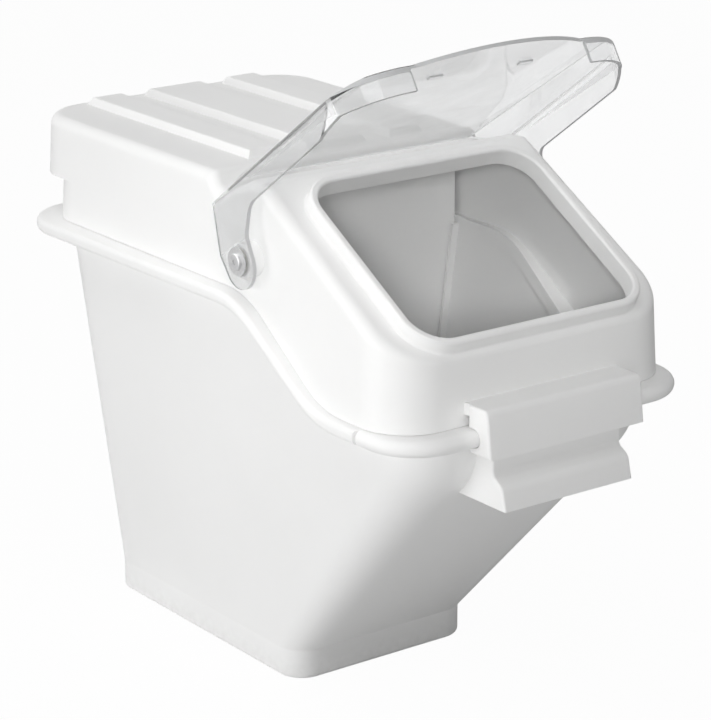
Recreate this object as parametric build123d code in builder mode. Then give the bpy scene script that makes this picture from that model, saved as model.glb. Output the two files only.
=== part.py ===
"""Shelf ingredient bin: a tapered tub, a hood that tips up on the tub's front bead and a clear visor.

Millimetres, +Z up.  The front faces -Y and the origin is the middle of the base, on the floor.
"""
import os
from math import cos, radians, sin, sqrt, tan

from build123d import *

os.makedirs("parts", exist_ok=True)

# Tub walls
wall = 3.5
base_width = 175.0
base_depth = 261.0
base_back_corner = 14.0
base_front_corner = 22.0
foot_height = 25.0
foot_edge = 4.0
mouth_width = 258.0
mouth_back = 153.0
mouth_front = 322.0
mouth_back_corner = 43.0
mouth_front_corner = 52.0
hopper_angle = 43.0
hopper_bend = 60.0
bend_sections = 5

# Rim of the tub, level at the rear and lower at the front
rim_rear = 332.0
rim_drop = 65.5
rim_slope_start = 132.5
rim_slope_end = 231.5
rim_bend = 80.0
flange_thickness = 11.0
flange_edge = 4.2
flange_side_reach = 21.5
flange_back_reach = 26.0
flange_front_reach = 2.5
flange_corner = 50.0
flange_level = 49.5
bead_diameter = 13.0
bead_side_reach = 21.0
bead_front_reach = 15.5
bead_corner = 45.0
bead_lap = 25.0
web_thickness = 4.5

# Pull lip, placed from the middle of the bead: reaches forward and drops down
pull_width = 122.0
pull_neck_reach = 8.0
pull_neck_drop = 16.5
pull_neck_length = 12.5
pull_neck_bend = 5.0
pull_shoulder_reach = 18.5
pull_shoulder_drop = 35.0
pull_shoulder_bend = 9.0
pull_lip_reach = 23.0
pull_lip_drop = 52.5
pull_shell = 3.5
pull_end_edge = 2.0

# Divider plate and the guides that hold it
divider_thickness = 3.0
divider_place = 60.0
divider_bottom = 60.0
divider_headroom = 17.0
divider_play = 1.0
guide_width = 3.0
guide_reach = 6.0
guide_setback = 2.0
guide_foot = 6.0

# Hood
hood_draft = 2.4
hood_corner = 42.0
hood_edge = 9.0
deck_rise = 83.0
hood_side_reach = 0.2
deck_overhang = 22.0
deck_front = 81.5
step_run = 9.0
step_drop = 13.0
step_edge = 8.0
valley_length = 9.5
valley_bend = 11.0
valley_rise_bend = 14.0
crest_place = 142.0
crest_bend = 20.0
face_angle = 30.0
face_drop = 52.8
hood_front_setback = 7.5
hood_back_reach = 4.0
grip_depth = 49.0
rib_height = 6.0
rib_taper = 30.0
rib_outer_width = 34.0
rib_outer_inset = 62.2
rib_middle_width = 57.0
rib_back = 166.0
rib_front = 68.0
rib_edge = 2.0

# Seat of the hood on the rim
rim_gap = 0.3
ledge_thickness = 3.5
plug_depth = 8.0
plug_thickness = 2.5
plug_play = 0.8
plug_front_setback = 54.0
plug_notch_front = 15.0
plug_notch_rear = 58.0

# Collar round the opening in the sloping face
opening_side_inset = 25.7
opening_rear = -4.4
opening_front = 164.0
opening_corner = 26.0
collar_wall = 6.5
collar_height = 11.2
collar_edge = 2.2
collar_foot = 2.0

# Hook on the hood, placed from the middle of the bead that it turns round
hook_width = 147.0
hook_rise = 24.5
hook_root_rise = 15.5
hook_back_reach = 5.4
hook_top_reach = 15.5
hook_bottom_reach = 20.5
hook_drop = 11.5
hook_tip_reach = 2.3
hook_play = 0.4
hook_edge = 5.0
hook_end_edge = 2.2

# Visor pivots
pivot_place = 142.0
pivot_depth = 54.0
boss_diameter = 27.0
boss_reach = 10.5
boss_edge = 1.5
insert_diameter = 9.0
insert_length = 9.0
insert_play = 0.05
thread_diameter = 5.0
ring_diameter = 20.0
ring_thickness = 0.9
shoulder_diameter = 8.0
shoulder_play = 0.08
side_play = 0.1
washer_diameter = 22.0
washer_thickness = 1.0
head_diameter = 13.0
head_height = 2.2
head_edge = 1.0
socket_size = 4.0
socket_depth = 1.4

# Visor
visor_angle = 33.0
visor_wall = 3.0
visor_gap = 1.6
visor_crease = 2.0
visor_rear = 12.0
visor_length = 190.0
visor_corner = 60.0
panel_margin = 0.5
crease_inset = 11.5
crease_rear_drop = 14.4
crease_front_drop = 2.6
side_rear = 24.0
notch_depth = 0.5
side_foot = 12.0
skirt_inset = 5.5
skirt_bottom = 33.8
skirt_middle = 40.0
skirt_rise_start = 138.0
skirt_rise_end = 160.0
skirt_front_bottom = 49.0
lip_width = 162.0
lip_reach = 19.0
lip_setback = 3.0
lip_root = 25.0
pad_size = 12.0
pad_depth = 5.0
pad_place = 42.0
pad_gap = 0.1
arm_radius = 18.5
arm_drop = 3.0
arm_waist = 20.5
arm_waist_height = 15.0
arm_root = 30.0
arm_bend = 12.0

# Worked out from the sizes above
reach = 700.0
rim_front = rim_rear - rim_drop
bead_radius = bead_diameter / 2
bead_axis = mouth_front + bead_front_reach - bead_radius
bead_height = rim_front - bead_radius
lean = tan(radians(hopper_angle))
bend_rise = hopper_bend * tan(radians(hopper_angle / 2))
bend_top = foot_height + (mouth_front - base_depth / 2) / lean + bend_rise
bend_middle = mouth_front - hopper_bend
flange_end = rim_slope_end + flange_level
flange_back = mouth_back + flange_back_reach
draft_run = tan(radians(hood_draft))
deck_width = mouth_width + 2 * hood_side_reach
deck_height = rim_rear + deck_rise
grip_height = deck_height - grip_depth
hood_front = mouth_front - hood_front_setback
hood_back = mouth_back + hood_back_reach
deck_back = hood_back + deck_overhang
opening_width = deck_width - 2 * opening_side_inset
collar_top = face_drop + collar_height
boss_root = deck_width / 2 + pivot_depth * draft_run
boss_end = boss_root + boss_reach
visor_inside = boss_end + ring_thickness + side_play
visor_width = 2 * (visor_inside + visor_wall)
visor_under = collar_top + visor_gap
visor_top = visor_under + visor_wall
panel_half = opening_width / 2 + collar_wall + panel_margin
crease_half = visor_width / 2 - crease_inset
skirt_half = visor_width / 2 - skirt_inset
arm_bottom = arm_radius + arm_drop
notch_half = crease_half - visor_wall
lip_front = visor_length + lip_reach
lip_shoulder = visor_length - lip_setback
visor_rise = radians(visor_angle)
visor_back = (0, cos(visor_rise), -sin(visor_rise))
visor_out = (0, sin(visor_rise), cos(visor_rise))
pivot_height = deck_height - pivot_depth
pivot = (0, -pivot_place, pivot_height)
visor_plane = Plane(origin=pivot, x_dir=(1, 0, 0), z_dir=visor_out)
arm_plane = Plane(origin=pivot, x_dir=visor_back, z_dir=(1, 0, 0))
cross_plane = Plane(origin=pivot, x_dir=(1, 0, 0), z_dir=(0, -visor_back[1], -visor_back[2]))
face_rise = radians(face_angle)
face_plane = Plane(origin=pivot, x_dir=(1, 0, 0), z_dir=(0, -sin(face_rise), cos(face_rise)))


def front_reach(height, inset):
    """Distance from the origin forward to the tub's front wall, moved inwards by inset."""
    radius = hopper_bend - inset
    bend_start = bend_top - radius * sin(radians(hopper_angle))
    if height >= bend_top:
        return bend_middle + radius
    if height >= bend_start:
        return bend_middle + sqrt(radius**2 - (bend_top - height) ** 2)
    sloping = bend_middle + radius * cos(radians(hopper_angle)) - (bend_start - height) * lean
    return max(sloping, base_depth / 2 - inset)


def side_reach(height, inset):
    """Half the width of the tub between its side walls, moved inwards by inset."""
    share = max(0, height - foot_height) / (rim_rear - foot_height)
    return (base_width + share * (mouth_width - base_width)) / 2 - inset


def tub_section(height, inset):
    """Level section of the tub with rounded corners."""
    share = max(0, height - foot_height) / (rim_rear - foot_height)
    back = base_depth / 2 + share * (mouth_back - base_depth / 2) - inset
    front = front_reach(height, inset)
    back_corner = base_back_corner + share * (mouth_back_corner - base_back_corner) - inset
    front_corner = base_front_corner + share * (mouth_front_corner - base_front_corner) - inset
    with BuildSketch(Plane.XY.offset(height)) as section:
        with Locations((0, (back - front) / 2)):
            Rectangle(2 * side_reach(height, inset), back + front)
        fillet(section.vertices().group_by(Axis.Y)[0], radius=front_corner)
        fillet(section.vertices().group_by(Axis.Y)[-1], radius=back_corner)
    return section.sketch


def tub_sections(heights, inset):
    """Level sections of the tub at several heights."""
    return [tub_section(height, inset) for height in heights]


def bend_heights(inset):
    """Heights at which the curved stretch of the front wall is cut into sections."""
    start = bend_top - (hopper_bend - inset) * sin(radians(hopper_angle))
    step = (bend_top - start) / (bend_sections - 1)
    return [start + step * number for number in range(bend_sections)]


def rim_band(top, bottom):
    """Side view of a band that follows the rim, between two heights measured from it."""
    edges = []
    with BuildSketch(Plane.YZ) as band:
        with BuildLine():
            for rise in (top, bottom):
                edges.append(
                    FilletPolyline(
                        (reach, rim_rear + rise),
                        (-rim_slope_start, rim_rear + rise),
                        (-rim_slope_end, rim_front + rise),
                        (-reach, rim_front + rise),
                        radius=rim_bend,
                    )
                )
            Line(edges[0] @ 0, edges[1] @ 0)
            Line(edges[0] @ 1, edges[1] @ 1)
        make_face()
    return band.sketch


def hood_section(height, inset, back):
    """Level section of the hood, whose walls lean in towards the top."""
    spread = (deck_height - height) * draft_run - inset
    front = hood_front + spread
    rear = back + spread
    with BuildSketch(Plane.XY.offset(height)) as section:
        with Locations((0, (rear - front) / 2)):
            RectangleRounded(deck_width + 2 * spread, rear + front, hood_corner - inset)
    return section.sketch


def hood_sections(heights, inset, back):
    """Level sections of the hood at several heights."""
    return [hood_section(height, inset, back) for height in heights]


def hood_profile(inset):
    """Side view of the hood's top: deck, step, valley, crest and the sloping face."""
    valley_height = deck_height - step_drop
    valley_start = deck_front + step_run
    face_lift = tan(face_rise)
    face_base = pivot_place + face_drop * sin(face_rise)
    face_start = pivot_height + face_drop * cos(face_rise) + face_lift * face_base
    with BuildSketch(Plane.YZ) as profile:
        with BuildLine():
            top = FilletPolyline(
                (reach, deck_height),
                (-deck_front, deck_height),
                (-valley_start, valley_height),
                (-valley_start - valley_length, valley_height),
                (-crest_place, face_start - face_lift * crest_place),
                (-reach, face_start - face_lift * reach),
                radius=[step_edge, valley_bend, valley_rise_bend, crest_bend],
            )
            Polyline(top @ 0, (reach, -reach), (-reach, -reach), top @ 1)
        make_face()
        if inset:
            offset(amount=-inset)
    return profile.sketch


def guide_outline(side, low, high, place):
    """Front view of a guide rib that stands on the inside of a side wall of the tub."""
    with BuildSketch(Plane.XZ.offset(place)) as guide:
        with BuildLine():
            Polyline(
                (side * (side_reach(low, wall) + wall / 2), low),
                (side * (side_reach(high, wall) + wall / 2), high),
                (side * (side_reach(high, wall) - guide_reach), high),
                (side * (side_reach(low, wall) - guide_reach), low),
                close=True,
            )
        make_face()
    return guide.sketch


def opening_outline(margin):
    """Outline of the opening at the top of its collar, wider by a margin all round."""
    length = opening_front - opening_rear + 2 * margin
    with BuildSketch(face_plane.offset(collar_top)) as outline:
        with Locations((0, -(opening_front + opening_rear) / 2)):
            RectangleRounded(opening_width + 2 * margin, length, opening_corner + margin)
    return outline.sketch


def rims_the_top(edge):
    """True for an edge where the hood's walls meet its deck or its sloping face."""
    middle = edge.position_at(0.5)
    along = edge.tangent_at(0.5)
    upright = abs(along.Z) > cos(radians(90 - face_angle) / 2)
    seam = abs(along.X) > cos(radians(hood_draft)) and -hood_front < middle.Y < deck_back - hood_edge
    grip = middle.Y > 0 and middle.Z < deck_height - hood_edge
    return not (upright or seam or grip or middle.Z < rim_front)


def rims_the_collar(edge):
    """True for an edge where the collar's outside meets the sloping face."""
    place = face_plane.to_local_coords(edge.position_at(0.5))
    level = abs(place.Z - face_drop) < wall / 10
    beside = abs(place.X) < opening_width / 2 + 2 * collar_wall
    between = opening_rear - 2 * collar_wall < -place.Y < opening_front + 1.5 * collar_wall
    return level and beside and between


def visor_section(place, drop, inset):
    """Section across the visor: a flat top between two bevels, leaning sides and upright feet."""
    with BuildSketch(cross_plane.offset(place)) as section:
        Polygon(
            (-visor_width / 2, -arm_bottom - 2 * visor_wall),
            (visor_width / 2, -arm_bottom - 2 * visor_wall),
            (visor_width / 2, side_foot),
            (crease_half, visor_top - drop),
            (panel_half, visor_top),
            (-panel_half, visor_top),
            (-crease_half, visor_top - drop),
            (-visor_width / 2, side_foot),
            align=None,
        )
        if inset:
            offset(amount=-inset, kind=Kind.INTERSECTION)
    return section.sketch


def visor_plan(inset):
    """Plan of the visor, as wide as its arms at the rear and rounded in front."""
    half = skirt_half - inset
    corner_start = visor_length - visor_corner
    with BuildSketch(visor_plane) as plan:
        with Locations((0, (side_rear - corner_start) / 2)):
            Rectangle(visor_width, side_rear + corner_start)
        with BuildLine():
            outline = FilletPolyline(
                (-half, side_rear),
                (-half, inset - visor_length),
                (half, inset - visor_length),
                (half, side_rear),
                radius=visor_corner - inset,
            )
            Line(outline @ 0, outline @ 1)
        make_face()
    return plan.sketch


def visor_form(inset):
    """Visor block with its bevels and leaning sides, moved inwards by inset."""
    rear_section = visor_section(-side_rear, crease_rear_drop, inset)
    front_section = visor_section(visor_length, crease_front_drop, inset)
    with BuildPart() as form:
        loft([rear_section, front_section], ruled=True)
        extrude(visor_plan(inset), amount=reach, both=True, mode=Mode.INTERSECT)
    return form.part


def visor_outline():
    """The visor seen from its side: sloping skirt, arm with a round end and upright rear edge."""
    with BuildSketch(arm_plane) as outline:
        with Locations((0, -arm_drop)):
            Circle(arm_radius)
        with BuildLine():
            arm_front = FilletPolyline(
                (-skirt_rise_start, skirt_middle),
                (-arm_root, skirt_bottom),
                (-arm_waist, arm_waist_height),
                (-arm_radius, -arm_drop),
                radius=arm_bend,
            )
            Polyline(
                arm_front @ 1,
                (arm_radius, -arm_drop),
                (side_rear, visor_top - crease_rear_drop),
                (visor_rear, visor_top),
                (visor_rear, visor_top + visor_wall),
                (-lip_front, visor_top + visor_wall),
                (-lip_front, skirt_front_bottom),
                (-skirt_rise_end, skirt_front_bottom),
                arm_front @ 0,
            )
        make_face()
    return outline.sketch


def disc(place, diameter, bore):
    """Disc or ring about the visor's pivot line, standing at a distance from the middle of the bin."""
    with BuildSketch(Plane.YZ.offset(place)) as ring:
        with Locations((-pivot_place, pivot_height)):
            Circle(diameter / 2)
            if bore:
                Circle(bore / 2, mode=Mode.SUBTRACT)
    return ring.sketch


def bead_outline(height):
    """Line along the middle of the bead, from one end of the flange round to the other."""
    bead_side = side_reach(rim_front, 0) + bead_side_reach - bead_radius
    bead_start = bead_lap - flange_end
    with BuildLine(Plane.XY.offset(height)) as outline:
        FilletPolyline(
            (-bead_side, bead_start),
            (-bead_side, -bead_axis),
            (bead_side, -bead_axis),
            (bead_side, bead_start),
            radius=bead_corner - bead_radius,
        )
    return outline.line


def pull_profile(inset):
    """Side view of the pull lip with its top and front moved in by inset."""
    neck_top = bead_height - pull_neck_drop - inset
    neck_bottom = bead_height - pull_neck_drop - pull_neck_length
    shoulder = bead_height - pull_shoulder_drop
    bottom = bead_height - pull_lip_drop
    with BuildSketch(Plane.YZ) as profile:
        with BuildLine():
            front = FilletPolyline(
                (inset - bead_axis - pull_neck_reach, neck_top),
                (inset - bead_axis - pull_neck_reach, neck_bottom),
                (inset - bead_axis - pull_shoulder_reach, shoulder),
                (inset - bead_axis - pull_lip_reach, bottom),
                radius=[pull_neck_bend + inset, pull_shoulder_bend - inset],
            )
            Polyline(
                front @ 1,
                (-front_reach(bottom, wall / 2), bottom),
                (-front_reach(neck_bottom, wall / 2), neck_bottom),
                (-front_reach(neck_top, wall / 2), neck_top),
                front @ 0,
            )
        make_face()
    return profile.sketch


# Rim flange of the tub: a band that follows the rim, with a rounded outer edge
with BuildPart() as rim_flange:
    rear_half = mouth_width / 2 + flange_side_reach
    front_half = side_reach(rim_front, 0) + bead_side_reach + flange_front_reach
    with BuildSketch():
        with BuildLine():
            outline = FilletPolyline(
                (-front_half, -flange_end),
                (-rear_half, flange_back),
                (rear_half, flange_back),
                (front_half, -flange_end),
                radius=flange_corner,
            )
            Line(outline @ 0, outline @ 1)
        make_face()
    extrude(amount=reach)
    extrude(rim_band(0, -flange_thickness), amount=reach, both=True, mode=Mode.INTERSECT)
    rim_edges = rim_flange.edges().filter_by(Axis.Z, reverse=True)
    across = rim_edges.filter_by(Axis.X).filter_by(lambda edge: edge.center().Y < flange_back - flange_edge)
    fillet([edge for edge in rim_edges if edge not in across], radius=flange_edge)

# Front bead of the tub: a round bar carried by a thin web
with BuildPart() as front_bead:
    bead_line = bead_outline(bead_height)
    with BuildSketch(Plane(origin=bead_line @ 0, z_dir=bead_line % 0)):
        Circle(bead_radius)
    sweep(path=bead_line)
    with BuildSketch(Plane.XY.offset(rim_front)):
        with BuildLine():
            add(bead_outline(0))
            Line(bead_outline(0) @ 0, bead_outline(0) @ 1)
        make_face()
    extrude(amount=-web_thickness)

# Pull lip of the tub: a hollow wedge for the fingers, open underneath
with BuildPart() as pull:
    extrude(pull_profile(0), amount=pull_width / 2, both=True)
    end_edges = pull.faces().filter_by(Axis.X).edges()
    front_ends = [edge for edge in end_edges if edge.center().Y < -bead_axis]
    fillet(front_ends, radius=pull_end_edge)
    extrude(pull_profile(pull_shell), amount=pull_width / 2 - pull_shell, both=True, mode=Mode.SUBTRACT)

# Tub: foot, sloping front, bend and upright mouth, joined to the rim, cut along it and hollowed
with BuildPart() as tub:
    extrude(tub_section(0, 0), amount=foot_height)
    fillet(tub.edges().group_by(Axis.Z)[0], radius=foot_edge)
    bend = bend_heights(0)
    loft(tub_sections((foot_height, bend[0]), 0), ruled=True)
    loft(tub_sections(bend, 0))
    loft(tub_sections((bend[-1], rim_rear + wall), 0), ruled=True)
    add(rim_flange.part)
    add(front_bead.part)
    add(pull.part)
    extrude(rim_band(0, -reach), amount=reach, both=True, mode=Mode.INTERSECT)
    bend = bend_heights(wall)
    foot_turn = foot_height + wall * (1 / cos(radians(hopper_angle)) - 1) / lean
    extrude(tub_section(wall, wall), amount=foot_height - wall, mode=Mode.SUBTRACT)
    loft(tub_sections((foot_height, foot_turn), wall), ruled=True, mode=Mode.SUBTRACT)
    loft(tub_sections((foot_turn, bend[0]), wall), ruled=True, mode=Mode.SUBTRACT)
    loft(tub_sections(bend, wall), mode=Mode.SUBTRACT)
    loft(tub_sections((bend[-1], rim_rear + wall), wall), ruled=True, mode=Mode.SUBTRACT)
    guide_top = rim_rear - guide_setback
    guide_spread = (divider_thickness + guide_width) / 2 + divider_play
    for side in (-1, 1):
        for place in (divider_place - guide_spread, divider_place + guide_spread):
            guide = guide_outline(side, divider_bottom, guide_top, place)
            extrude(guide, amount=guide_width / 2, both=True)
        foot = guide_outline(side, divider_bottom - guide_foot, divider_bottom, divider_place)
        extrude(foot, amount=guide_spread + guide_width / 2, both=True)
tub.part.label = "tub"
export_step(tub.part, "parts/tub.step")

# Divider: a plate that drops between the guides and stands on their feet, clear of the floor
with BuildPart() as divider:
    edge_inset = wall + divider_play
    half = side_reach(rim_rear, wall + plug_play) - divider_play
    shoulder_share = (half + edge_inset - base_width / 2) * 2 / (mouth_width - base_width)
    shoulder_height = foot_height + shoulder_share * (rim_rear - foot_height)
    divider_top = deck_height - divider_headroom
    with BuildSketch(Plane.XZ.offset(divider_place)):
        with BuildLine():
            Polyline(
                (-side_reach(divider_bottom, edge_inset), divider_bottom),
                (-half, shoulder_height),
                (-half, divider_top),
                (half, divider_top),
                (half, shoulder_height),
                (side_reach(divider_bottom, edge_inset), divider_bottom),
                close=True,
            )
        make_face()
    extrude(amount=divider_thickness / 2, both=True)
divider.part.label = "divider"
export_step(divider.part, "parts/divider.step")

# Inside of the hood's shell
with BuildPart() as hood_hollow:
    loft(hood_sections((bead_height - wall, deck_height + wall), wall, hood_back), ruled=True)
    loft(hood_sections((grip_height + wall, deck_height + wall), wall, deck_back), ruled=True)
    extrude(hood_profile(wall), amount=reach, both=True, mode=Mode.INTERSECT)

# Seat of the hood: a ledge that lies along the rim
with BuildPart() as hood_ledge:
    low = bead_height - plug_depth
    high = rim_rear + ledge_thickness + wall
    loft(hood_sections((low, high), 0, hood_back), ruled=True)
    extrude(rim_band(rim_gap + ledge_thickness, rim_gap), amount=reach, both=True, mode=Mode.INTERSECT)
    loft(tub_sections((low, high), wall + plug_play), ruled=True, mode=Mode.SUBTRACT)

# Plug of the hood: a lip that hangs from the ledge inside the mouth of the tub, clear of the divider
with BuildPart() as hood_plug:
    loft(tub_sections((low, high), wall + plug_play), ruled=True)
    loft(tub_sections((low, high), wall + plug_play + plug_thickness), ruled=True, mode=Mode.SUBTRACT)
    plug_top = rim_gap + ledge_thickness
    extrude(rim_band(plug_top, -plug_depth), amount=reach, both=True, mode=Mode.INTERSECT)
    with BuildSketch():
        with Locations((0, plug_front_setback - mouth_front)):
            Rectangle(reach, reach, align=(Align.CENTER, Align.MAX))
        with Locations((0, plug_notch_rear - divider_place)):
            Rectangle(reach, plug_notch_front + plug_notch_rear, align=(Align.CENTER, Align.MAX))
    extrude(amount=reach, mode=Mode.SUBTRACT)

# Hook of the hood: a bar along the front that reaches round the bead
with BuildPart() as hook:
    hook_top = bead_height + hook_rise
    hook_root = bead_height + hook_root_rise
    hook_bottom = bead_height - hook_drop
    hook_wall = hood_front + (deck_height - hook_top) * draft_run - wall / 2
    with BuildSketch(Plane.YZ):
        with BuildLine():
            Polyline(
                (-bead_axis + hook_back_reach, hook_top),
                (-bead_axis - hook_top_reach, hook_top),
                (-bead_axis - hook_bottom_reach, hook_bottom),
                (-bead_axis + hook_tip_reach, hook_bottom),
                (-bead_axis + hook_tip_reach, bead_height),
                (-bead_axis + hook_back_reach, bead_height),
                close=True,
            )
        make_face()
        with Locations((-bead_axis, bead_height)):
            Circle(bead_radius + hook_play, mode=Mode.SUBTRACT)
        with Locations((-bead_axis, rim_front + hook_play)):
            slot = hook_back_reach + bead_radius
            Rectangle(slot, bead_radius, align=(Align.MIN, Align.MAX), mode=Mode.SUBTRACT)
    extrude(amount=hook_width / 2, both=True)
    front_edges = hook.edges().filter_by(Axis.X).group_by(Axis.Y)[:2]
    fillet(front_edges[1], radius=hook_edge)
    ends = hook.faces().filter_by(Axis.X).edges()
    hook_reach = bead_axis + bead_radius
    outer_ends = [edge for edge in ends if edge.center().Z > rim_front or edge.center().Y < -hook_reach]
    fillet(outer_ends, radius=hook_end_edge)
    with BuildSketch(Plane.XY.offset(hook_top)):
        with BuildLine():
            Polyline(
                (-hook_width / 2, -hook_wall),
                (hook_width / 2, -hook_wall),
                (hook_width / 2 - hook_end_edge, -bead_axis + hook_back_reach),
                (-hook_width / 2 + hook_end_edge, -bead_axis + hook_back_reach),
                close=True,
            )
        make_face()
    extrude(amount=hook_root - hook_top)

# Hood: drafted walls under the deck and the sloping face, hollowed, with its seat, collar, bosses and hook
with BuildPart() as hood:
    loft(hood_sections((bead_height, deck_height + wall), 0, hood_back), ruled=True)
    loft(hood_sections((grip_height, deck_height + wall), 0, deck_back), ruled=True)
    extrude(hood_profile(0), amount=reach, both=True, mode=Mode.INTERSECT)
    fillet(hood.edges().filter_by(rims_the_top), radius=hood_edge)
    add(hood_hollow.part, mode=Mode.SUBTRACT)
    extrude(rim_band(rim_gap, -reach), amount=reach, both=True, mode=Mode.SUBTRACT)
    add(hood_ledge.part)
    add(hood_plug.part)
    with BuildSketch(Plane.XY.offset(deck_height)):
        rib_length = rib_back + rib_front
        with Locations((0, (rib_back - rib_front) / 2)):
            Rectangle(rib_middle_width, rib_length)
        rib_outer_place = deck_width / 2 - rib_outer_inset
        with Locations(
            (-rib_outer_place, (rib_back - rib_front) / 2),
            (rib_outer_place, (rib_back - rib_front) / 2),
        ):
            Rectangle(rib_outer_width, rib_length)
    extrude(amount=rib_height, taper=rib_taper)
    fillet(hood.edges().group_by(Axis.Z)[-1], radius=rib_edge)
    extrude(opening_outline(collar_wall), amount=-collar_height - wall)
    extrude(opening_outline(0), amount=-collar_height - 2 * wall, mode=Mode.SUBTRACT)
    fillet(hood.edges().filter_by(rims_the_collar), radius=collar_foot)
    fillet(hood.faces().sort_by(Axis(pivot, tuple(face_plane.z_dir)))[-1].edges(), radius=collar_edge)
    boss_length = boss_reach + wall / 2
    for side in (-1, 1):
        extrude(disc(side * boss_end, boss_diameter, 0), amount=-side * boss_length)
        fillet(hood.faces().sort_by(Axis.X)[-1 if side > 0 else 0].edges(), radius=boss_edge)
        socket = disc(side * boss_end, insert_diameter + 2 * insert_play, 0)
        extrude(socket, amount=-side * insert_length, mode=Mode.SUBTRACT)
    add(hook.part)
hood.part.label = "hood"
export_step(hood.part, "parts/hood.step")

# Visor: a clear cover over the opening with bevelled sides, a lifting lip and two arms down to the pivots
with BuildPart() as visor:
    add(visor_form(0))
    long_edges = [edge for edge in visor.edges() if edge.length > visor_length - visor_corner]
    creases = [edge for edge in long_edges if visor_plane.to_local_coords(edge.center()).Z > skirt_bottom]
    fillet(creases, radius=visor_crease)
    add(visor_form(visor_wall), mode=Mode.SUBTRACT)
    extrude(visor_outline(), amount=reach, both=True, mode=Mode.INTERSECT)
    with BuildSketch(visor_plane):
        with BuildLine():
            Polyline(
                (-panel_half, visor_rear),
                (panel_half, visor_rear),
                (notch_half, -notch_depth),
                (notch_half, side_rear),
                (-notch_half, side_rear),
                (-notch_half, -notch_depth),
                close=True,
            )
        make_face()
    extrude(amount=visor_top, mode=Mode.SUBTRACT)
    with BuildSketch(visor_plane):
        with Locations((0, -visor_length)):
            Rectangle(lip_width, 2 * visor_corner)
    extrude(amount=visor_under, mode=Mode.SUBTRACT)
    with BuildSketch(visor_plane.offset(visor_under)):
        with BuildLine():
            lip_inside = lip_root - visor_length
            lip = ThreePointArc(
                (-lip_width / 2, -lip_shoulder),
                (0, -lip_front),
                (lip_width / 2, -lip_shoulder),
            )
            Polyline(lip @ 1, (lip_width / 2, lip_inside), (-lip_width / 2, lip_inside), lip @ 0)
        make_face()
    extrude(amount=visor_wall)
    with BuildSketch(visor_plane.offset(collar_top + pad_gap)):
        with Locations((-pad_place, -opening_front), (pad_place, -opening_front)):
            Rectangle(pad_size, pad_depth)
    extrude(amount=visor_under - collar_top - pad_gap)
    with BuildSketch(arm_plane):
        Circle(shoulder_diameter / 2 + shoulder_play)
    extrude(amount=reach, both=True, mode=Mode.SUBTRACT)
visor.part.label = "visor"
export_step(visor.part, "parts/visor.step")

# Visor pivots: on each side a threaded insert, a friction ring, a washer and a shoulder screw
washer_place = visor_width / 2 + side_play
head_place = washer_place + washer_thickness
for name, side in (("left", -1), ("right", 1)):
    with BuildPart() as pivot_insert:
        thread_bore = thread_diameter + 2 * insert_play
        extrude(disc(side * boss_end, insert_diameter, thread_bore), amount=-side * insert_length)
    pivot_insert.part.label = "pivot_insert_" + name
    export_step(pivot_insert.part, "parts/pivot_insert_" + name + ".step")

    with BuildPart() as friction_ring:
        bore = shoulder_diameter + 2 * shoulder_play
        extrude(disc(side * boss_end, ring_diameter, bore), amount=side * ring_thickness)
    friction_ring.part.label = "friction_ring_" + name
    export_step(friction_ring.part, "parts/friction_ring_" + name + ".step")

    with BuildPart() as pivot_washer:
        extrude(disc(side * washer_place, washer_diameter, bore), amount=side * washer_thickness)
    pivot_washer.part.label = "pivot_washer_" + name
    export_step(pivot_washer.part, "parts/pivot_washer_" + name + ".step")

    with BuildPart() as pivot_screw:
        extrude(disc(side * head_place, head_diameter, 0), amount=side * head_height)
        outer_face = pivot_screw.faces().sort_by(Axis.X)[-1 if side > 0 else 0]
        fillet(outer_face.edges(), radius=head_edge)
        extrude(disc(side * boss_end, shoulder_diameter, 0), amount=side * (head_place - boss_end))
        extrude(disc(side * boss_end, thread_diameter, 0), amount=-side * insert_length)
        with BuildSketch(Plane.YZ.offset(side * (head_place + head_height))):
            with Locations((-pivot_place, pivot_height)):
                RegularPolygon(socket_size / 2, 6, major_radius=False)
        extrude(amount=-side * socket_depth, mode=Mode.SUBTRACT)
    pivot_screw.part.label = "pivot_screw_" + name
    export_step(pivot_screw.part, "parts/pivot_screw_" + name + ".step")
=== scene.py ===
"""Shelf ingredient bin: white moulded tub and hood, divider, clear visor on two screwed pivots."""
import math

import bpy
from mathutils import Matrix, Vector

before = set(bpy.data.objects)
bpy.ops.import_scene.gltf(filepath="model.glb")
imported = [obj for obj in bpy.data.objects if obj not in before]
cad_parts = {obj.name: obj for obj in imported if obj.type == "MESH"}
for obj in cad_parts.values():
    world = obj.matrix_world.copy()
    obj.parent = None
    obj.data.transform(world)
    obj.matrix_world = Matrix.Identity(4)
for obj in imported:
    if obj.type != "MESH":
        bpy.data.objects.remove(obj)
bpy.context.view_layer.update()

# Tub
# A one-piece injection moulding in white polyethylene: foot, sloping front, rim flange, bead and pull.
# The mould gives it a fine satin grain and a slow orange-peel wave; sliding on shelves dulls its foot.
# Lengths here and below are in metres, and spots are noise spots per metre.
pale_white = (0.945, 0.945, 0.94)
dull_white = (0.93, 0.93, 0.925)
dull_stop = 0.35
pale_stop = 0.65
noise_low = 0.3
noise_high = 0.7
plastic_index = 1.5
tone_spots = 9.0
gloss_spots = 60.0
wave_spots = 45.0
wave_depth = 0.00012
grain_spots = 1400.0
grain_depth = 0.00002
scuff_height = 0.022
scuff_spots = 160.0
scuff_roughness = 0.25
scuff_cover = 0.5
scuff_grey = (0.78, 0.775, 0.765, 1.0)
mix_share = 0
mix_first_colour = 6
mix_second_colour = 7
mix_colour = 2
sideways = (1.0, 0.0, 0.0)
upward = (0.0, 0.0, 1.0)


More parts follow.
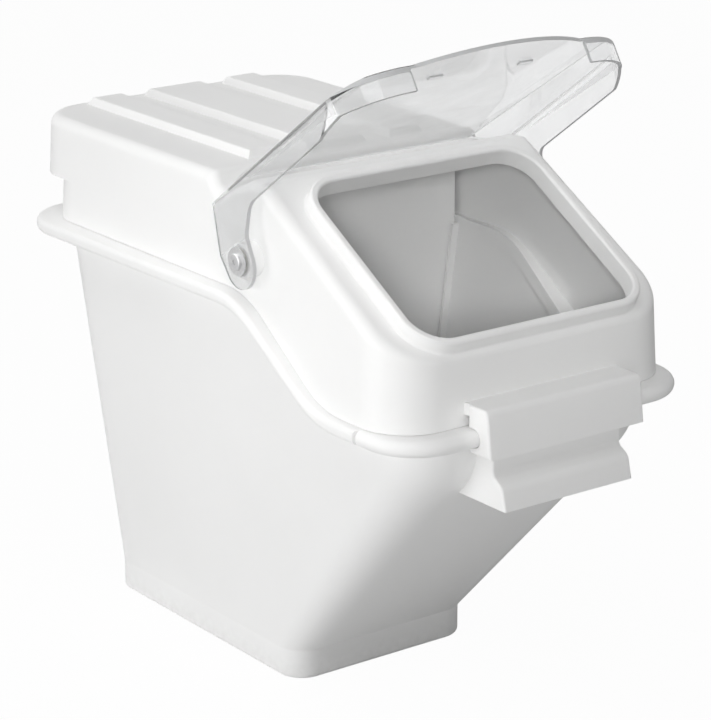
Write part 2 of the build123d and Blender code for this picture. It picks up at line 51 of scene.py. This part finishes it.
def surface_nodes(name):
    """A new material with one shader joined to its output, and its object coordinates."""
    finish = bpy.data.materials.new(name)
    finish.use_nodes = True
    tree = finish.node_tree
    tree.nodes.clear()
    output = tree.nodes.new("ShaderNodeOutputMaterial")
    shader = tree.nodes.new("ShaderNodeBsdfPrincipled")
    tree.links.new(shader.outputs["BSDF"], output.inputs["Surface"])
    place = tree.nodes.new("ShaderNodeTexCoord")
    return finish, tree, shader, place.outputs["Object"]


def mottle(tree, place, spots, detail=3.0):
    """Soft noise over the surface."""
    noise = tree.nodes.new("ShaderNodeTexNoise")
    noise.inputs["Scale"].default_value = spots
    noise.inputs["Detail"].default_value = detail
    tree.links.new(place, noise.inputs["Vector"])
    return noise.outputs["Fac"]


def spread(tree, source, low, high):
    """Maps the middle of a noise onto a range of values."""
    reach = tree.nodes.new("ShaderNodeMapRange")
    reach.inputs["From Min"].default_value = noise_low
    reach.inputs["From Max"].default_value = noise_high
    reach.inputs["To Min"].default_value = low
    reach.inputs["To Max"].default_value = high
    tree.links.new(source, reach.inputs["Value"])
    return reach.outputs["Result"]


def shade(tree, source, first, last):
    """Colours along a value, between two (position, (r, g, b)) stops."""
    ramp = tree.nodes.new("ShaderNodeValToRGB")
    for entry, (position, colour) in zip(ramp.color_ramp.elements, (first, last)):
        entry.position = position
        entry.color = (*colour, 1.0)
    tree.links.new(source, ramp.inputs["Fac"])
    return ramp.outputs["Color"]


def relief(tree, source, depth, under=None):
    """Bump of a real depth, laid over another bump where there is one."""
    bump = tree.nodes.new("ShaderNodeBump")
    bump.inputs["Strength"].default_value = 1.0
    bump.inputs["Distance"].default_value = depth
    tree.links.new(source, bump.inputs["Height"])
    if under is not None:
        tree.links.new(under, bump.inputs["Normal"])
    return bump.outputs["Normal"]


def moulded_plastic(name, pale, dull, low_roughness, high_roughness):
    """Moulded plastic with a fine grain and a slow wave from the mould."""
    finish, tree, shader, place = surface_nodes(name)
    tone = mottle(tree, place, tone_spots)
    colour = shade(tree, tone, (dull_stop, dull), (pale_stop, pale))
    tree.links.new(colour, shader.inputs["Base Color"])
    roughness = spread(tree, mottle(tree, place, gloss_spots), low_roughness, high_roughness)
    tree.links.new(roughness, shader.inputs["Roughness"])
    wave = relief(tree, mottle(tree, place, wave_spots, 1.0), wave_depth)
    grain = relief(tree, mottle(tree, place, grain_spots, 2.0), grain_depth, wave)
    tree.links.new(grain, shader.inputs["Normal"])
    shader.inputs["IOR"].default_value = plastic_index
    return finish


def wear(node, finish):
    """Puts one finish on the whole of a solid."""
    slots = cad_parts[node].data.materials
    slots.clear()
    slots.append(finish)


def calculate(tree, operation, first, second=None):
    """One step of arithmetic on node outputs or plain numbers."""
    step = tree.nodes.new("ShaderNodeMath")
    step.operation = operation
    for socket, value in zip(step.inputs, (first, second)):
        if isinstance(value, (int, float)):
            socket.default_value = value
        elif value is not None:
            tree.links.new(value, socket)
    return step.outputs["Value"]


def along(tree, vector, line):
    """How far a vector goes along a line."""
    part = tree.nodes.new("ShaderNodeVectorMath")
    part.operation = "DOT_PRODUCT"
    part.inputs[1].default_value = line
    tree.links.new(vector, part.inputs[0])
    return part.outputs["Value"]


tub_white = moulded_plastic("tub_white", pale_white, dull_white, 0.4, 0.5)
tree = tub_white.node_tree
shader = tree.nodes["Principled BSDF"]
place = tree.nodes.new("ShaderNodeTexCoord").outputs["Object"]
near_floor = tree.nodes.new("ShaderNodeMapRange")
near_floor.inputs["From Min"].default_value = scuff_height
near_floor.inputs["From Max"].default_value = 0.0
tree.links.new(along(tree, place, upward), near_floor.inputs["Value"])
patches = spread(tree, mottle(tree, place, scuff_spots), 0.0, 1.0)
rubbed = calculate(tree, "MULTIPLY", near_floor.outputs["Result"], patches)
moulded_roughness = shader.inputs["Roughness"].links[0].from_socket
added_roughness = calculate(tree, "MULTIPLY", rubbed, scuff_roughness)
dulled = calculate(tree, "ADD", moulded_roughness, added_roughness)
tree.links.new(dulled, shader.inputs["Roughness"])
moulded_colour = shader.inputs["Base Color"].links[0].from_socket
scuffed = tree.nodes.new("ShaderNodeMix")
scuffed.data_type = "RGBA"
tree.links.new(calculate(tree, "MULTIPLY", rubbed, scuff_cover), scuffed.inputs[mix_share])
tree.links.new(moulded_colour, scuffed.inputs[mix_first_colour])
scuffed.inputs[mix_second_colour].default_value = scuff_grey
tree.links.new(scuffed.outputs[mix_colour], shader.inputs["Base Color"])
wear("tub", tub_white)

# Divider
# A flat plate of the same white plastic, cut from extruded sheet, that drops between guides in the tub.
# Extrusion leaves it a little glossier than the mouldings.
divider_white = moulded_plastic("divider_white", pale_white, dull_white, 0.3, 0.4)
wear("divider", divider_white)

# Hood
# A second white moulding with ribbed deck, sloping face and collar, hooked round the bead of the tub.
# It is a touch glossier than the tub.
hood_white = moulded_plastic("hood_white", pale_white, dull_white, 0.38, 0.48)
wear("hood", hood_white)

# Visor
# A clear polycarbonate moulding, thin walled and glossy, with a trace of grey in its thickness.
# Its trimmed edges are matt and milky. Their grey colour, and a fainter grey band along the two
# creases, is painted shade for the dark lines that light bending in clear plastic draws at its edges
# and folds. Handling has left it a faint haze of fine marks.
# Places on it are measured from the pivot line: aside, to the rear along its top, and out from its top.
visor_lean = math.radians(33.0)
visor_back = (0.0, math.cos(visor_lean), -math.sin(visor_lean))
visor_out = (0.0, math.sin(visor_lean), math.cos(visor_lean))
pivot_line = (0.0, -0.142, 0.361)
mostly_facing = 0.5
squarely_facing = 0.9
foot_aside = 0.1352
rear_edge = -0.0035
rear_edge_out = 0.05
front_edge = -0.15
front_edge_out = 0.064
bottom_edge_out = 0.0495
lip_edge = -0.17
lip_aside = 0.09
top_crease_inner = 0.1087
top_crease_outer = 0.1108
top_crease_out = 0.0675
side_crease_inner = 0.1328
side_crease_outer = 0.135
side_crease_out = 0.0515
# The crease weight and the edge grey below set painted shade: grey put on the edges and creases, which
# only look dark from the light the clear sheet bends.
crease_shade_weight = 0.35
clear_tint = (0.97, 0.972, 0.974)
edge_painted_shade_grey = (0.68, 0.685, 0.69)
edge_milkiness = 0.8
edge_roughness = 0.35
cloud_spots = 14.0
haze_spots = 70.0
ripple_spots = 30.0
ripple_depth = 0.0001
body_grey = (0.7, 0.712, 0.718, 1.0)
body_density = 34.0


def from_pivot(tree, place):
    """A point measured from the middle of the visor's pivot line."""
    centre = tree.nodes.new("ShaderNodeVectorMath")
    centre.operation = "SUBTRACT"
    centre.inputs[1].default_value = pivot_line
    tree.links.new(place, centre.inputs[0])
    return centre.outputs["Vector"]


def over(tree, value, limit):
    """1 where a value is over a limit."""
    return calculate(tree, "GREATER_THAN", value, limit)


def below(tree, value, limit):
    """1 where a value is below a limit."""
    return calculate(tree, "LESS_THAN", value, limit)


def where_all(tree, first, *others):
    """1 where all of several masks are 1."""
    for other in others:
        first = calculate(tree, "MULTIPLY", first, other)
    return first


visor_clear, tree, shader, place = surface_nodes("visor_clear")
facing = tree.nodes.new("ShaderNodeTexCoord").outputs["Normal"]
spot = from_pivot(tree, place)
aside = calculate(tree, "ABSOLUTE", along(tree, spot, sideways))
rear = along(tree, spot, visor_back)
out = along(tree, spot, visor_out)
side_facing = calculate(tree, "ABSOLUTE", along(tree, facing, sideways))
rear_facing = along(tree, facing, visor_back)
out_facing = along(tree, facing, visor_out)
level_facing = calculate(tree, "ABSOLUTE", out_facing)
# Mask of the trimmed edges: they get a real matt, milky finish and also a painted grey shade.
matt_trim_and_painted_shade = where_all(tree, over(tree, aside, foot_aside), below(tree, side_facing, mostly_facing))
rear_cut = where_all(
    tree,
    over(tree, rear, rear_edge),
    over(tree, rear_facing, mostly_facing),
    over(tree, out, rear_edge_out),
)
front_cut = where_all(
    tree,
    over(tree, out, front_edge_out),
    below(tree, rear, front_edge),
    below(tree, level_facing, mostly_facing),
)
bottom_cut = where_all(
    tree,
    below(tree, out, bottom_edge_out),
    below(tree, out_facing, -mostly_facing),
)
lip_cut = where_all(
    tree,
    below(tree, rear, lip_edge),
    over(tree, side_facing, squarely_facing),
    below(tree, aside, lip_aside),
)
for cut in (rear_cut, front_cut, bottom_cut, lip_cut):
    matt_trim_and_painted_shade = calculate(tree, "MAXIMUM", matt_trim_and_painted_shade, cut)
# Narrow bands along the top and side creases, greyed more faintly than the edges: painted shade for the
# dark fold lines.
top_crease = where_all(
    tree,
    over(tree, aside, top_crease_inner),
    below(tree, aside, top_crease_outer),
    over(tree, out, top_crease_out),
)
side_crease = where_all(
    tree,
    over(tree, aside, side_crease_inner),
    below(tree, aside, side_crease_outer),
    over(tree, out, side_crease_out),
)
creases_painted_shade = calculate(tree, "MAXIMUM", top_crease, side_crease)
faint_crease_painted_shade = calculate(tree, "MULTIPLY", creases_painted_shade, crease_shade_weight)
matt_trim_and_painted_shade = calculate(tree, "MAXIMUM", matt_trim_and_painted_shade, faint_crease_painted_shade)
# The grey given to edges and creases here is painted shade. The milkiness and roughness below are the
# real matt trim.
clear_with_painted_shade = shade(tree, matt_trim_and_painted_shade, (0.0, clear_tint), (1.0, edge_painted_shade_grey))
tree.links.new(clear_with_painted_shade, shader.inputs["Base Color"])
cloudy = spread(tree, mottle(tree, place, cloud_spots), 0.03, 0.08)
milky = calculate(tree, "MAXIMUM", cloudy, calculate(tree, "MULTIPLY", matt_trim_and_painted_shade, edge_milkiness))
tree.links.new(calculate(tree, "SUBTRACT", 1.0, milky), shader.inputs["Transmission Weight"])
haze = spread(tree, mottle(tree, place, haze_spots), 0.02, 0.06)
rough = calculate(tree, "ADD", haze, calculate(tree, "MULTIPLY", matt_trim_and_painted_shade, edge_roughness))
tree.links.new(rough, shader.inputs["Roughness"])
ripple = relief(tree, mottle(tree, place, ripple_spots, 1.0), ripple_depth)
tree.links.new(ripple, shader.inputs["Normal"])
shader.inputs["IOR"].default_value = plastic_index
body = tree.nodes.new("ShaderNodeVolumeAbsorption")
body.inputs["Color"].default_value = body_grey
body.inputs["Density"].default_value = body_density
tree.links.new(body.outputs["Volume"], tree.nodes["Material Output"].inputs["Volume"])
wear("visor", visor_clear)

# Visor pivots
# On each side a stainless shoulder screw and washer, a nylon friction ring and a brass insert.
# The steel and brass are turned, so fine rings run round the pivot line.
ring_spots = 3500.0
ring_depth = 0.00002
metal_spots = 400.0
across_pivot = (0.0, 1.0, 1.0)


def turned_metal(name, pale, dull, low_roughness, high_roughness):
    """Metal turned on a lathe, with rings round the pivot line."""
    finish, tree, shader, place = surface_nodes(name)
    shader.inputs["Metallic"].default_value = 1.0
    flat = tree.nodes.new("ShaderNodeVectorMath")
    flat.operation = "MULTIPLY"
    flat.inputs[1].default_value = across_pivot
    tree.links.new(from_pivot(tree, place), flat.inputs[0])
    radius = tree.nodes.new("ShaderNodeVectorMath")
    radius.operation = "LENGTH"
    tree.links.new(flat.outputs["Vector"], radius.inputs[0])
    rings = tree.nodes.new("ShaderNodeTexNoise")
    rings.noise_dimensions = "1D"
    rings.inputs["Scale"].default_value = ring_spots
    tree.links.new(radius.outputs["Value"], rings.inputs["W"])
    tone = mottle(tree, place, metal_spots)
    colour = shade(tree, tone, (dull_stop, dull), (pale_stop, pale))
    tree.links.new(colour, shader.inputs["Base Color"])
    roughness = spread(tree, rings.outputs["Fac"], low_roughness, high_roughness)
    tree.links.new(roughness, shader.inputs["Roughness"])
    tree.links.new(relief(tree, rings.outputs["Fac"], ring_depth), shader.inputs["Normal"])
    return finish


stainless = turned_metal("stainless", (0.78, 0.78, 0.78), (0.7, 0.7, 0.71), 0.34, 0.5)
brass = turned_metal("brass", (0.8, 0.62, 0.32), (0.68, 0.5, 0.24), 0.24, 0.4)
nylon = moulded_plastic("nylon", (0.8, 0.79, 0.75), (0.76, 0.75, 0.7), 0.4, 0.55)
for hand in ("left", "right"):
    wear("pivot_screw_" + hand, stainless)
    wear("pivot_washer_" + hand, stainless)
    wear("pivot_insert_" + hand, brass)
    wear("friction_ring_" + hand, nylon)

# Studio
# A pale floor, a white surround, soft lamps at the left, in front and above, and a beam into the
# opening. The camera sees floor and surround as white, also through the visor, but they light the
# part more softly than that.
plain_white = (1.0, 1.0, 1.0, 1.0)
floor_half = 6.0
floor_gap = 0.0005
floor_grey = (0.9, 0.9, 0.9, 1.0)
floor_glow_share = 0.97
fill_strength = 0.21


def seen_directly(tree, path):
    """1 for rays from the camera and for rays through the visor."""
    return calculate(
        tree, "MAXIMUM", path.outputs["Is Camera Ray"], path.outputs["Is Transmission Ray"]
    )


floor_mesh = bpy.data.meshes.new("floor")
floor_corners = [
    (-floor_half, -floor_half, 0.0),
    (floor_half, -floor_half, 0.0),
    (floor_half, floor_half, 0.0),
    (-floor_half, floor_half, 0.0),
]
floor_mesh.from_pydata(floor_corners, [], [(0, 1, 2, 3)])
floor = bpy.data.objects.new("floor", floor_mesh)
floor.location.z = -floor_gap
bpy.context.scene.collection.objects.link(floor)
floor_pale = bpy.data.materials.new("floor_pale")
floor_pale.use_nodes = True
tree = floor_pale.node_tree
tree.nodes.clear()
output = tree.nodes.new("ShaderNodeOutputMaterial")
matt = tree.nodes.new("ShaderNodeBsdfDiffuse")
matt.inputs["Color"].default_value = floor_grey
glow = tree.nodes.new("ShaderNodeEmission")
glow.inputs["Color"].default_value = plain_white
glow.inputs["Strength"].default_value = 1.0
seen = seen_directly(tree, tree.nodes.new("ShaderNodeLightPath"))
both = tree.nodes.new("ShaderNodeMixShader")
tree.links.new(calculate(tree, "MULTIPLY", seen, floor_glow_share), both.inputs["Fac"])
tree.links.new(matt.outputs["BSDF"], both.inputs[1])
tree.links.new(glow.outputs["Emission"], both.inputs[2])
tree.links.new(both.outputs["Shader"], output.inputs["Surface"])
floor_mesh.materials.append(floor_pale)

world = bpy.data.worlds.new("surround")
bpy.context.scene.world = world
world.use_nodes = True
tree = world.node_tree
tree.nodes.clear()
output = tree.nodes.new("ShaderNodeOutputWorld")
fill = tree.nodes.new("ShaderNodeBackground")
fill.inputs["Color"].default_value = plain_white
fill.inputs["Strength"].default_value = fill_strength
white = tree.nodes.new("ShaderNodeBackground")
white.inputs["Color"].default_value = plain_white
white.inputs["Strength"].default_value = 1.0
path = tree.nodes.new("ShaderNodeLightPath")
seen = calculate(tree, "MAXIMUM", seen_directly(tree, path), path.outputs["Is Glossy Ray"])
both = tree.nodes.new("ShaderNodeMixShader")
tree.links.new(seen, both.inputs["Fac"])
tree.links.new(fill.outputs["Background"], both.inputs[1])
tree.links.new(white.outputs["Background"], both.inputs[2])
tree.links.new(both.outputs["Shader"], output.inputs["Surface"])

aim = Vector((0.0, -0.08, 0.25))
for name, lamp_place, power, size, mirrored in (
    ("left_lamp", (-2.3, 0.15, 0.42), 21.5, 1.3, True),
    ("front_lamp", (-0.95, -1.35, 2.2), 10.5, 1.0, False),
    ("top_lamp", (-0.6, 0.9, 2.4), 15.5, 1.5, True),
):
    lamp = bpy.data.lights.new(name, "AREA")
    lamp.shape = "SQUARE"
    lamp.size = size
    lamp.energy = power
    holder = bpy.data.objects.new(name, lamp)
    holder.location = lamp_place
    holder.rotation_euler = (aim - Vector(lamp_place)).to_track_quat("-Z", "Y").to_euler()
    holder.visible_glossy = mirrored
    bpy.context.scene.collection.objects.link(holder)

opening = Vector((0.0, -0.2, 0.39))
beam = bpy.data.lights.new("opening_lamp", "SPOT")
beam.energy = 208.0
beam.spot_size = 0.2
beam.spot_blend = 1.0
beam.shadow_soft_size = 0.3
holder = bpy.data.objects.new("opening_lamp", beam)
holder.location = (-1.42, -1.99, 1.02)
holder.rotation_euler = (opening - holder.location).to_track_quat("-Z", "Y").to_euler()
holder.visible_glossy = False
bpy.context.scene.collection.objects.link(holder)

camera = bpy.data.cameras.new("camera")
camera.lens = 145.9
camera.sensor_width = 36.0
camera.clip_end = 50.0
sight = Vector((0.5684, 0.7629, -0.3080))
eye = bpy.data.objects.new("camera", camera)
eye.location = (-1.31742, -1.86038, 0.95721)
eye.rotation_euler = sight.to_track_quat("-Z", "Y").to_euler()
bpy.context.scene.collection.objects.link(eye)
bpy.context.scene.camera = eye
bpy.context.scene.view_settings.view_transform = "Standard"
